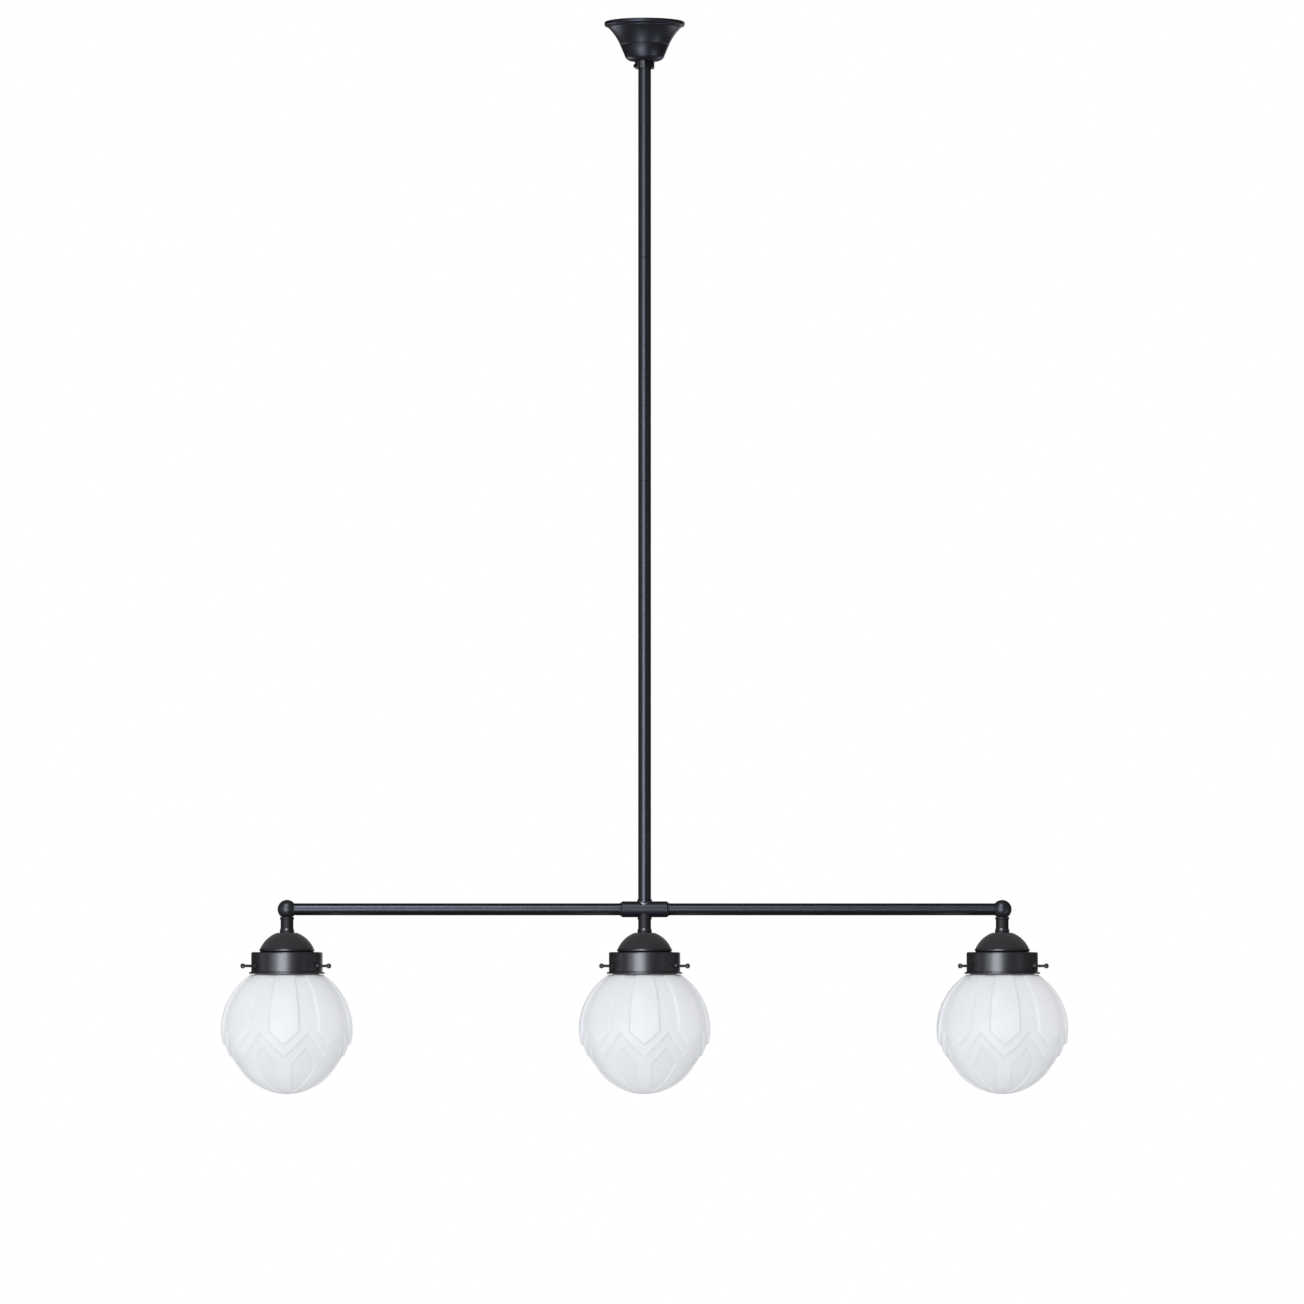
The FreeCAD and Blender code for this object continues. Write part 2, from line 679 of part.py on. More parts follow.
def drop_stub(name, under_tee=False):
    """Short turned spacer with a ring at the top and a flared foot on the dome.

    It stands flat on a ball's lower face; under the tee its top is bored across to fit the sleeve.
    """
    body = new_body(name)
    top = "0" if under_tee else "-sizes.ball_stub_seat"
    ring = "(sizes.ball_stub_seat + sizes.stub_top_ring_height)"
    foot = f"({STUB_FOOT} - sizes.stub_foot_height)"
    turn(body, [
        (THREAD_HOLE, top),
        ("sizes.stub_top_ring_radius", top),
        ("sizes.stub_top_ring_radius", f"-{ring}"),
        ("sizes.stub_radius", f"-{ring}"),
        ("sizes.stub_radius", f"-({foot} - sizes.stub_foot_flare)"),
        ("sizes.stub_foot_radius", f"-{foot}"),
        ("sizes.stub_foot_radius", f"-{STUB_FOOT}"),
        (THREAD_HOLE, f"-{STUB_FOOT}"),
    ])
    if under_tee:
        drill(body, "saddle", "YZ_Plane", "0", "0", "sizes.tee_radius")
    return body


def dome_cap(name):
    """Spun half-ball over the gallery, flat on its crown, with a narrow hem round its mouth."""
    body = new_body(name)
    hole = "(sizes.nipple_radius + sizes.hole_clearance)"
    wall = "sizes.dome_wall"
    radius = "sizes.dome_radius"
    crown = "sizes.dome_crown_radius"
    crown_rise = f"sqrt({radius} ^ 2 - {crown} ^ 2)"
    mouth_rise = f"({crown_rise} - sizes.dome_height)"
    mouth = f"sqrt({radius} ^ 2 - {mouth_rise} ^ 2)"
    hem_rise = f"({mouth_rise} + sizes.dome_hem_height)"
    at_hem = f"sqrt({radius} ^ 2 - {hem_rise} ^ 2)"
    inside = f"({radius} - {wall})"
    crown_inside_rise = f"({crown_rise} - {wall})"
    crown_inside = f"sqrt({inside} ^ 2 - {crown_inside_rise} ^ 2)"
    mouth_inside = f"sqrt({inside} ^ 2 - {mouth_rise} ^ 2)"
    hem = f"({mouth} + sizes.dome_hem_width)"
    turn(body, [
        (hole, crown_rise),
        (hole, crown_inside_rise),
        (crown_inside, crown_inside_rise, inside),
        (mouth_inside, mouth_rise),
        (hem, mouth_rise),
        (hem, hem_rise),
        (at_hem, hem_rise, f"-{radius}"),
        (crown, crown_rise),
    ])
    return body, f"-({STUB_FOOT} + {crown_rise})"


def gallery(name):
    """Pressed ring that holds the glass: flat top, rounded corner, edged lip and tapped bosses."""
    body = new_body(name)
    wall = "sizes.gallery_wall"
    outside = "sizes.gallery_radius"
    inside = f"({outside} - {wall})"
    corner = "sizes.gallery_corner"
    lip = "sizes.gallery_lip_radius"
    edge = "sizes.gallery_lip_edge"
    lip_top = f"({GALLERY_FOOT} - sizes.gallery_lip_height)"
    flare = "sizes.gallery_lip_flare"
    hole = "(sizes.nipple_radius + sizes.hole_clearance)"
    turn(body, [
        (hole, f"-({GALLERY_TOP} + {wall})"),
        (f"({outside} - {corner})", f"-({GALLERY_TOP} + {wall})"),
        (inside, f"-({GALLERY_TOP} + {corner})"),
        (inside, f"-{GALLERY_FOOT}"),
        (f"({lip} - {edge})", f"-{GALLERY_FOOT}"),
        (lip, f"-({GALLERY_FOOT} - {edge})"),
        (lip, f"-({lip_top} + {edge})"),
        (f"({lip} - {edge})", f"-{lip_top}"),
        (f"({outside} + {flare})", f"-{lip_top}"),
        (outside, f"-({lip_top} - {flare})"),
        (outside, f"-({GALLERY_TOP} + {corner})", f"-{corner}"),
        (f"({outside} - {corner})", f"-{GALLERY_TOP}"),
        (hole, f"-{GALLERY_TOP}"),
    ])
    boss_root = f"({outside} - {wall} / 2)"
    boss_end = f"({outside} + sizes.boss_length)"
    sketch = blank_sketch(body, f"{name}_boss", "XZ_Plane")
    outline(sketch, [
        (boss_root, f"-{SCREW_LEVEL}"),
        (boss_end, f"-{SCREW_LEVEL}"),
        (boss_end, f"-({SCREW_LEVEL} - sizes.boss_end_radius)"),
        (f"({outside} + sizes.boss_round)", f"-({SCREW_LEVEL} - sizes.boss_base_radius)"),
        (boss_root, f"-({SCREW_LEVEL} - sizes.boss_base_radius)"),
    ])
    boss = body.newObject("PartDesign::Revolution", f"{name}_boss_turned")
    boss.Profile = sketch
    boss.ReferenceAxis = (sketch, ["Edge1"])
    boss.Angle = 360
    hole_sketch = blank_sketch(body, f"{name}_screw_hole", "YZ_Plane", f"({inside} - {wall})")
    circle(hole_sketch, "0", f"-{SCREW_LEVEL}", "sizes.screw_radius + sizes.screw_clearance")
    bore = pocket(body, "screw_hole", hole_sketch, f"({boss_end} - {inside} + 2 * {wall})", True)
    around = body.newObject("PartDesign::PolarPattern", f"{name}_bosses")
    around.Originals = [boss, bore]
    around.Axis = (origin_part(body, "Z_Axis"), [""])
    around.Angle = 360
    around.setExpression("Occurrences", "sizes.screw_count")
    body.Tip = around
    body.Placement.Rotation = FreeCAD.Rotation(UP, 90)
    return body


def thumbscrew(name, azimuth):
    """Slim screw with a round knob, square to the gallery's wall."""
    body = new_body(name)
    knob = "(sizes.screw_end - sizes.screw_knob_length)"
    edge = "sizes.screw_knob_edge"
    radial_screw(body, "(sizes.globe_neck_radius + sizes.screw_tip_gap)", "sizes.screw_radius", [
        (knob, "sizes.screw_radius"),
        (f"{knob} + {edge}", "sizes.screw_knob_radius"),
        (f"sizes.screw_end - {edge}", "sizes.screw_knob_radius"),
        ("sizes.screw_end", f"sizes.screw_knob_radius - {edge}"),
        ("sizes.screw_end", "0"),
    ])
    body.Placement.Rotation = FreeCAD.Rotation(UP, azimuth)
    return body


def holder_cap(name):
    """Coned cap of the lamp holder, tapped for the nipple, over the holder's body."""
    body = new_body(name)
    wall = "sizes.holder_wall"
    neck = "sizes.holder_neck_radius"
    neck_foot = f"({HOLDER_TOP} + sizes.holder_neck_height)"
    outside = "sizes.holder_radius"
    slope = "sizes.holder_cap_slope"
    turn(body, [
        (THREAD_HOLE, f"-{HOLDER_TOP}"),
        (THREAD_HOLE, f"-({neck_foot} + {wall})"),
        (f"({outside} - {slope} - {wall} / 2)", f"-({neck_foot} + {wall})"),
        (f"({outside} - {wall})", f"-({neck_foot} + {slope} + {wall} / 2)"),
        (f"({outside} - {wall})", f"-{BODY_TOP}"),
        (outside, f"-{BODY_TOP}"),
        (outside, f"-({neck_foot} + {slope})"),
        (f"({outside} - {slope})", f"-{neck_foot}"),
        (neck, f"-{neck_foot}"),
        (neck, f"-{HOLDER_TOP}"),
    ])
    return body


def holder_body(name):
    """Skirt of the lamp holder with two grip grooves, a floor for the contact and a seat for the shell."""
    body = new_body(name)
    outside = "sizes.holder_radius"
    groove = f"({outside} - sizes.holder_groove_depth)"
    width = "sizes.holder_groove_width"
    bore = "(sizes.socket_radius + sizes.socket_wall + sizes.thread_clearance)"
    first = f"({BODY_TOP} + sizes.holder_groove_start)"
    second = f"({first} + 2 * {width})"
    contact_hole = "(sizes.contact_radius / 2)"
    turn(body, [
        (contact_hole, f"-{FLOOR_TOP}"),
        (contact_hole, f"-{FLOOR_FOOT}"),
        (bore, f"-{FLOOR_FOOT}"),
        (bore, f"-{BODY_FOOT}"),
        (outside, f"-{BODY_FOOT}"),
        (outside, f"-({second} + {width})"),
        (groove, f"-({second} + {width})"),
        (groove, f"-{second}"),
        (outside, f"-{second}"),
        (outside, f"-({first} + {width})"),
        (groove, f"-({first} + {width})"),
        (groove, f"-{first}"),
        (outside, f"-{first}"),
        (outside, f"-{BODY_TOP}"),
        (bore, f"-{BODY_TOP}"),
        (bore, f"-{FLOOR_TOP}"),
    ])
    return body


def socket_shell(name):
    """Thin metal screw shell that takes the lamp's cap."""
    outside = "(sizes.socket_radius + sizes.socket_wall)"
    top = f"({FLOOR_FOOT} + sizes.contact_height + sizes.hole_clearance)"
    return tube(name, outside, "sizes.socket_radius", top, f"({top} + sizes.socket_length)")


def centre_contact(name):
    """Sprung centre contact, riveted through the holder's floor."""
    body = new_body(name)
    rivet = "(sizes.contact_radius / 2)"
    turn(body, [
        ("0", f"-{FLOOR_TOP}"),
        (rivet, f"-{FLOOR_TOP}"),
        (rivet, f"-{FLOOR_FOOT}"),
        ("sizes.contact_radius", f"-{FLOOR_FOOT}"),
        (rivet, f"-({FLOOR_FOOT} + sizes.contact_height)"),
        ("0", f"-({FLOOR_FOOT} + sizes.contact_height)"),
    ])
    return body


def direction(azimuth, latitude):
    """The unit vector towards a place on the globe; azimuth 0 is the front."""
    turned = math.radians(azimuth)
    lifted = math.radians(latitude)
    return V(math.sin(turned) * math.cos(lifted), -math.cos(turned) * math.cos(lifted), math.sin(lifted))


def pyramid(corners, length, axis):
    """A solid with its point at the globe's centre and an edge along each given direction.

    Its base is a flat cone about the axis, drawn out well past the glass.
    """
    tips = [direction(*corner) * length for corner in corners]
    centre = V(0, 0, 0)
    cap = axis * length * 1.4
    faces = []
    for number, tip in enumerate(tips):
        following = tips[(number + 1) % len(tips)]
        for third in (centre, cap):
            faces.append(Part.Face(Part.makePolygon([tip, following, third, tip])))
    shape = Part.Solid(Part.Shell(faces))
    if shape.Volume < 0:
        shape.reverse()
    return shape


def swollen_ball(radius):
    """A ball whose underside draws out to a fuller pole, from the latitude where the swell starts."""
    pole = radius + size("sizes.pole_swell")
    start = math.radians(size("sizes.swell_start_latitude"))
    shift = (pole ** 2 - radius ** 2) / (2 * (pole - radius * math.sin(start)))
    lower = Part.makeSphere(pole - shift, V(0, 0, -shift))
    return Part.makeSphere(radius).fuse(lower)


def globe_shape():
    """Pressed glass globe, about its own centre: neck, petals, two chevron bands, stems and panels.

    Each layer of the pattern is a ball with a lower edge cut by planes through the centre, as the
    mould's tiers are, so every edge of the pattern is square to the glass.
    """
    radius = size("sizes.globe_radius")
    count = int(size("sizes.petal_count"))
    step = 360 / count
    reach = 2 * radius
    turns = [step * number for number in range(count)]

    half = size("sizes.petal_half_angle")
    shoulder = -size("sizes.petal_shoulder_latitude")
    point = -size("sizes.petal_point_latitude")
    top = size("sizes.petal_top_latitude")
    petal = [(-half, top), (-half, shoulder), (0, point), (half, shoulder), (half, top)]
    petals = Part.makeSphere(radius).common(
        [pyramid([(a + t, l) for a, l in petal], reach, direction(t, top / 2)) for t in turns])

    band_ball = Part.makeSphere(radius - size("sizes.band_step"))
    zigzag = []
    for t in turns:
        zigzag.append((t, -size("sizes.band_point_latitude")))
        zigzag.append((t + step / 2, -size("sizes.band_valley_latitude")))
    band = band_ball.cut(pyramid(zigzag, reach, -UP))

    stem = size("sizes.stem_half_angle")
    side = -size("sizes.panel_side_latitude")
    foot = -size("sizes.panel_foot_latitude")
    panel = [(0, -size("sizes.panel_top_latitude")), (stem - step / 2, side), (0, foot),
             (step / 2 - stem, side)]
    panels = [pyramid([(a + t + step / 2, l) for a, l in panel], reach,
                      direction(t + step / 2, (side + foot) / 2)) for t in turns]
    chevrons = swollen_ball(radius - size("sizes.chevron_step")).cut(panels)
    ground = swollen_ball(radius - size("sizes.ground_step"))

    rise = globe_centre_depth() - size(SHOULDER)
    slab = Part.makeCylinder(2 * radius, 2 * radius, V(0, 0, rise))
    shell = ground.fuse([chevrons, band, petals]).cut(slab)

    neck_top = rise + size("sizes.globe_shoulder_gap") + size("sizes.gallery_height - sizes.screw_drop")
    lip_foot = neck_top + size("sizes.screw_radius + sizes.screw_tip_gap")
    lip_top = lip_foot + size("sizes.globe_lip_height")
    neck = Part.makeCylinder(size("sizes.globe_neck_radius"), lip_foot, V(0, 0, 0))
    lip = Part.makeCylinder(size("sizes.globe_lip_radius"), lip_top - lip_foot, V(0, 0, lip_foot))
    bore = Part.makeCylinder(size("sizes.globe_neck_bore"), lip_top, V(0, 0, 0))
    hollow = swollen_ball(radius - size("sizes.glass_inside_step"))
    hollow = hollow.cut(Part.makeCylinder(radius, radius, V(0, 0, rise - size("sizes.glass_inside_step") / 2)))
    return shell.fuse([neck, lip]).cut([bore, hollow]).removeSplitter()


def globe_centre_depth():
    """How far the globe's centre lies below the arms' axis, so that its shoulder meets the gallery."""
    rise = math.sqrt(size("sizes.globe_radius") ** 2 - size("sizes.globe_shoulder_radius") ** 2)
    return size(SHOULDER) + rise


def lamp(side, x, glass):
    """Everything that hangs from one stub."""
    level = f"-{ARM_LEVEL}"
    finish(place(drop_stub(f"drop_stub_{side}", side == "centre"), x, level))
    nipple = tube(f"lamp_nipple_{side}", "sizes.nipple_radius", "sizes.nipple_bore",
                  NIPPLE_END, f"({HOLDER_TOP} + sizes.holder_neck_height)")
    finish(place(nipple, x, level))
    dome, dome_level = dome_cap(f"dome_cap_{side}")
    finish(place(dome, x, f"{level} + {dome_level}"))
    finish(place(gallery(f"gallery_{side}"), x, level))
    screws = int(size("sizes.screw_count"))
    for number in range(screws):
        screw = thumbscrew(f"thumbscrew_{side}_{number + 1}", 90 + number * 360 / screws)
        finish(place(screw, x, f"{level} - {SCREW_LEVEL}"))
    finish(place(holder_cap(f"holder_cap_{side}"), x, level))
    finish(place(holder_body(f"holder_body_{side}"), x, level))
    finish(place(socket_shell(f"socket_shell_{side}"), x, level))
    globe = doc.addObject("Part::Feature", f"globe_{side}")
    globe.Label = f"globe_{side}"
    globe.Shape = glass
    globe.Placement.Base = V(size(x), 0, -size(ARM_LEVEL) - globe_centre_depth())
    finish(globe)


def export(pieces):
    """Check every object of the document, then write one file for each piece."""
    doc.recompute()
    for item in doc.Objects:
        if "Invalid" in item.State or "Error" in item.State:
            raise RuntimeError(f"{item.Label} failed: {item.State}")
    for piece in pieces:
        if piece.Shape.isNull() or not piece.Shape.isValid():
            raise RuntimeError(f"{piece.Label} has no valid solid")
    os.makedirs("parts", exist_ok=True)
    for piece in pieces:
        piece.Shape.exportStep(f"parts/{piece.Label}.step")
    print(f"{len(pieces)} pieces written")


ceiling_bracket()
ceiling_fixings()
canopy()
downrod()
tee()
for end, angle in (("right", 0), ("left", 180)):
    arm(end, angle)
    ball_elbow(end, angle)
finish(group("arm_nipples", [arm_nipple("right"), arm_nipple("left")]))

GLOBE = globe_shape()
LAMPS = {"left": "-sizes.arm_reach", "centre": "0", "right": "sizes.arm_reach"}
for lamp_side, lamp_x in LAMPS.items():
    lamp(lamp_side, lamp_x, GLOBE)

locknuts = []
contacts = []
for lamp_side, lamp_x in LAMPS.items():
    nut_top = f"({ARM_LEVEL} + {LOCKNUT_TOP})"
    locknut = hexagon_nut(f"locknut_{lamp_side}", nut_top, "sizes.locknut_height")
    locknut.setExpression("Placement.Base.x", lamp_x)
    locknuts.append(locknut)
    contacts.append(place(centre_contact(f"contact_{lamp_side}"), lamp_x, f"-{ARM_LEVEL}"))
finish(group("locknuts", locknuts))
finish(group("centre_contacts", contacts))

export(PARTS)
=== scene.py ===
"""Looks of the rail pendant: satin black metal, pressed opal globes, a studio and the photo's view."""

import json
import math

import bpy
import numpy as np
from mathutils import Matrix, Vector


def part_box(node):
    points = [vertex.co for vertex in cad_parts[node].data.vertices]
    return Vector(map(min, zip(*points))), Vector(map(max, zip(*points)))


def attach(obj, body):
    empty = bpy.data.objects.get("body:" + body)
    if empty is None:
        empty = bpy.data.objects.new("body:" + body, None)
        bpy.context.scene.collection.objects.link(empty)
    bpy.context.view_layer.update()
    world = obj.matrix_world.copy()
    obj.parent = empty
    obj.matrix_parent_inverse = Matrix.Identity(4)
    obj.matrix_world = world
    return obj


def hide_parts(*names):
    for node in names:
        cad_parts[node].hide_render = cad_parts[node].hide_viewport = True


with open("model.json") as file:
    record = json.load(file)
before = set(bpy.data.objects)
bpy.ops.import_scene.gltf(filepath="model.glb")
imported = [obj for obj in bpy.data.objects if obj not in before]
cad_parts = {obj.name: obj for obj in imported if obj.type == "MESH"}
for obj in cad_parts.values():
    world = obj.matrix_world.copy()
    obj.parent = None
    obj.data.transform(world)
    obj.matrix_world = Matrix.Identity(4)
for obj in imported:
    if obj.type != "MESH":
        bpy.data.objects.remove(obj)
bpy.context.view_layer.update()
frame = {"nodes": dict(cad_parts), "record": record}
NODES = frame["nodes"]
SLOTS = {part["node"]: part["material_slot"] for part in frame["record"]["subparts"]}
LAMPS = ("left", "centre", "right")


# Materials

class Nodes:
    """A short way to write a material's node tree."""

    def __init__(self, name):
        self.material = bpy.data.materials.new(name)
        self.material.use_nodes = True
        self.tree = self.material.node_tree
        self.shader = self.tree.nodes["Principled BSDF"]
        self.place = self.add("ShaderNodeTexCoord").outputs["Object"]

    def add(self, kind, **settings):
        """A new node with some of its sockets set or linked."""
        node = self.tree.nodes.new(kind)
        for word, value in settings.items():
            socket = node.inputs[word.replace("_", " ")]
            if isinstance(value, bpy.types.NodeSocket):
                self.tree.links.new(value, socket)
            else:
                socket.default_value = value
        return node

    def set(self, **settings):
        """Constants on the shader's own sockets."""
        for word, value in settings.items():
            self.shader.inputs[word.replace("_", " ")].default_value = value

    def link(self, output, word):
        """Drive one of the shader's sockets."""
        self.tree.links.new(output, self.shader.inputs[word])

    def noise(self, scale, detail=2.0, place=None):
        """Noise in the object's own metres, scale in cells per metre."""
        node = self.add("ShaderNodeTexNoise", Vector=place or self.place, Scale=scale, Detail=detail)
        return node.outputs["Fac"]

    def stretched(self, x, y, z):
        """The object's place with each axis scaled, for grain along a direction."""
        node = self.add("ShaderNodeMapping", Vector=self.place, Scale=(x, y, z))
        return node.outputs["Vector"]

    def remap(self, value, low, high):
        """A noise value spread between two numbers."""
        node = self.add("ShaderNodeMapRange", Value=value, From_Min=0.25, From_Max=0.75,
                        To_Min=low, To_Max=high)
        return node.outputs["Result"]

    def blend(self, value, first, second):
        """A colour between two, by a value from 0 to 1."""
        node = self.tree.nodes.new("ShaderNodeMix")
        node.data_type = "RGBA"
        self.tree.links.new(value, node.inputs["Factor"])
        node.inputs["A"].default_value = (*first, 1)
        node.inputs["B"].default_value = (*second, 1)
        return node.outputs["Result"]

    def mix(self, first, second, share):
        """Two values mixed by a share."""
        node = self.add("ShaderNodeMix", Factor=share, A=first, B=second)
        return node.outputs["Result"]

    def bump(self, height, strength, distance):
        """Fine relief, distance in metres."""
        node = self.add("ShaderNodeBump", Height=height, Strength=strength, Distance=distance)
        self.link(node.outputs["Normal"], "Normal")


def coat(name, dark, light, rough, gloss, grain=None, depth=0.1, tint=(1, 1, 1), sheen=0):
    """Sprayed black coat with faint orange peel, uneven gloss and, if asked, the metal's grain.

    rough is the lowest and highest roughness, grain the grain's cells per metre along each axis.
    """
    look = Nodes(name)
    cloud = look.noise(9, 3)
    look.link(look.blend(look.remap(cloud, 0, 1), dark, light), "Base Color")
    look.set(Specular_IOR_Level=gloss, Specular_Tint=(*tint, 1), Sheen_Weight=sheen)
    peel = look.noise(900, 2)
    if grain:
        lines = look.noise(1, 3, look.stretched(*grain))
        look.link(look.remap(lines, *rough), "Roughness")
        look.bump(look.mix(peel, lines, 0.7), depth, 0.0002)
    else:
        look.link(look.remap(look.noise(60, 4), *rough), "Roughness")
        look.bump(peel, depth, 0.0002)
    return look.material


def opal(name):
    """Milky pressed glass: light scatters inside, with a soft mould-pressed skin."""
    look = Nodes(name)
    cloud = look.remap(look.noise(22, 3), 0, 1)
    look.link(look.blend(cloud, (0.856, 0.869, 0.891), (0.886, 0.899, 0.921)), "Base Color")
    look.link(look.remap(look.noise(45, 3), 0.36, 0.43), "Roughness")
    look.set(Specular_IOR_Level=0.18, Subsurface_Weight=0.35, Subsurface_Scale=0.008,
             Subsurface_Radius=(1.0, 1.0, 1.0))
    look.bump(look.noise(120, 2), 0.1, 0.0004)
    return look.material


def zinc(name):
    """Zinc plate with a fine turned grain."""
    look = Nodes(name)
    grain = look.noise(1, 3, look.stretched(120, 120, 2200))
    look.link(look.blend(grain, (0.5, 0.5, 0.49), (0.66, 0.66, 0.64)), "Base Color")
    look.link(look.remap(grain, 0.26, 0.42), "Roughness")
    look.set(Metallic=1.0)
    look.bump(grain, 0.1, 0.0001)
    return look.material


def brass(name):
    """Stamped brass, a little dull."""
    look = Nodes(name)
    stain = look.remap(look.noise(90, 4), 0, 1)
    look.link(look.blend(stain, (0.6, 0.43, 0.18), (0.78, 0.6, 0.3)), "Base Color")
    look.link(look.remap(look.noise(260, 2), 0.22, 0.4), "Roughness")
    look.set(Metallic=1.0)
    look.bump(look.noise(900, 2), 0.08, 0.0001)
    return look.material


def moulded(name, dark, light, rough):
    """Moulded insulator, faintly mottled."""
    look = Nodes(name)
    mottle = look.remap(look.noise(150, 3), 0, 1)
    look.link(look.blend(mottle, dark, light), "Base Color")
    look.link(look.remap(look.noise(400, 2), *rough), "Roughness")
    look.bump(look.noise(1400, 2), 0.1, 0.0001)
    return look.material


BLUISH = (0.82, 0.89, 1.0)
SPUN_GRAIN = (25, 25, 1500)
COATS = {
    "black_lacquer": {
        "dark": (0.009, 0.010, 0.014), "light": (0.012, 0.013, 0.018),
        "rough": (0.28, 0.34), "gloss": 0.56, "tint": BLUISH,
    },
    "black_spun": {
        "dark": (0.011, 0.011, 0.014), "light": (0.015, 0.015, 0.019),
        "rough": (0.30, 0.40), "gloss": 0.9, "grain": SPUN_GRAIN, "depth": 0.16,
    },
    "black_cup": {
        "dark": (0.006, 0.006, 0.008), "light": (0.009, 0.009, 0.012),
        "rough": (0.36, 0.44), "gloss": 0.42, "grain": SPUN_GRAIN, "depth": 0.05,
        "tint": (0.84, 0.88, 1.0),
    },
    "black_turned": {
        "dark": (0.006, 0.006, 0.006), "light": (0.008, 0.008, 0.008),
        "rough": (0.52, 0.60), "gloss": 0.38,
    },
    "black_ball": {
        "dark": (0.009, 0.010, 0.013), "light": (0.012, 0.013, 0.016),
        "rough": (0.38, 0.44), "gloss": 0.72, "tint": (0.9, 0.94, 1.0),
    },
    "black_arm": {
        "dark": (0.004, 0.005, 0.007), "light": (0.006, 0.007, 0.010),
        "rough": (0.32, 0.37), "gloss": 0.6, "tint": BLUISH,
    },
    "black_tee": {
        "dark": (0.005, 0.006, 0.008), "light": (0.008, 0.009, 0.012),
        "rough": (0.42, 0.48), "gloss": 0.54, "tint": BLUISH,
    },
    "black_collar": {
        "dark": (0.002, 0.002, 0.003), "light": (0.004, 0.004, 0.005),
        "rough": (0.15, 0.19), "gloss": 0.9,
    },
    "black_matt": {
        "dark": (0.0105, 0.0092, 0.0115), "light": (0.0135, 0.0120, 0.0145),
        "rough": (0.72, 0.82), "gloss": 0.34, "grain": (25, 25, 1100), "sheen": 0.18,
    },
    "black_screws": {
        "dark": (0.010, 0.010, 0.012), "light": (0.016, 0.016, 0.018),
        "rough": (0.34, 0.42), "gloss": 0.3,
    },
    "black_knob": {
        "dark": (0.020, 0.020, 0.022), "light": (0.028, 0.028, 0.030),
        "rough": (0.30, 0.38), "gloss": 1.0,
    },
}
INSULATORS = {
    "black_insulator": {
        "dark": (0.012, 0.012, 0.012), "light": (0.02, 0.019, 0.018), "rough": (0.24, 0.34),
    },
    "white_insulator": {
        "dark": (0.74, 0.73, 0.69), "light": (0.83, 0.82, 0.78), "rough": (0.45, 0.6),
    },
}
MATERIALS = {name: coat(name, **look) for name, look in COATS.items()}
for name, make in (("opal_glass", opal), ("zinc_steel", zinc), ("brass", brass)):
    MATERIALS[name] = make(name)
for name, look in INSULATORS.items():
    MATERIALS[name] = moulded(name, **look)

# Nodes, by the start of their name, whose coat differs a little from their slot's
FINISHES = {
    "gallery": "black_spun",
    "canopy_cup": "black_cup",
    "dome_cap": "black_matt",
    "drop_stub": "black_turned",
    "canopy_collar": "black_collar",
    "ball_elbow": "black_ball",
    "tee_fitting": "black_tee",
    "arm_left": "black_arm",
    "arm_right": "black_arm",
}
for node, piece in NODES.items():
    own = (finish for start, finish in FINISHES.items() if node.startswith(start))
    piece.data.materials.clear()
    piece.data.materials.append(MATERIALS[next(own, SLOTS[node])])


# Meshes and pieces

def ring_faces(rings, around, closed=False):
    """Faces between neighbouring rings of points; closed joins the last ring to the first."""
    faces = []
    for row in range(rings if closed else rings - 1):
        for column in range(around):
            after, over = (column + 1) % around, (row + 1) % rings
            faces.append((row * around + column, row * around + after,
                          over * around + after, over * around + column))
    return faces


def smooth_mesh(name, vertices, faces, material):
    """A smooth mesh with its material, from points in metres."""
    mesh = bpy.data.meshes.new(name)
    mesh.from_pydata(vertices.tolist(), [], faces)
    mesh.update()
    mesh.shade_smooth()
    mesh.materials.append(MATERIALS[material])
    return mesh


def in_scene(name, data, place):
    """A new object, put in its place in the scene."""
    thing = bpy.data.objects.new(name, data)
    bpy.context.scene.collection.objects.link(thing)
    thing.location = place
    return thing


def stand(name, mesh, place, node, rotation=(0, 0, 0), body="frame"):
    """Put a piece in its place, for the solid that it stands for, if there is one."""
    piece = in_scene(name, mesh, place)
    piece.rotation_euler = rotation
    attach(piece, body)
    if node:
        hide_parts(node)


def middle(node):
    """The centre of a node's box, and its lowest and highest level."""
    low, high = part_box(node)
    return (low[0] + high[0]) / 2, (low[1] + high[1]) / 2, low[2], high[2]


# Pressed glass: sizes in millimetres, directions as (azimuth, latitude) in degrees

BALL = 76.5
SHOULDER_RADIUS = 41.9
SHOULDER_LEVEL = math.sqrt(BALL ** 2 - SHOULDER_RADIUS ** 2)
SHOULDER_WALL = 4.9
SHOULDER_GAP = 0.8
NECK_RADIUS = 36.8
NECK_BORE = 33.3
SCREW_RISE = 9.2
LIP_GAP = 1.6
LIP_RADIUS = 39.2
LIP_HEIGHT = 4.5

# How far each level of the pattern, and the hollow, lies inside the ball
STEPS = {"band": 3.1, "chevron": 5.5, "ground": 6.8, "inside": 9.8}
SWELL = 3.7
SWELL_START = 38
PATTERN_SECTOR = 45
PETAL_TOP = (13.3, 40)
PETAL_SIDE = (13.3, -1.1)
PETAL_TIP = (0, -13.2)
BAND_MIDDLE = (0, -25.5)
BAND_EDGE = (22.5, -2.4)
PANEL_PEAK = (22.5, -16.3)
PANEL_SIDE = (7.9, -33.9)
PANEL_FOOT = (22.5, -78)
ON_PETAL = (0, 30)
ON_PANEL = (22.5, -60)
EDGE_WIDTH = 2.6
PANEL_EDGE_WIDTH = 2.4

# The band's step gives up this share of its depth towards the gallery
FADE_SHARE = 0.75
FADE_START = 30
FADE_REACH = 28
FADE_CURVE = 1.5

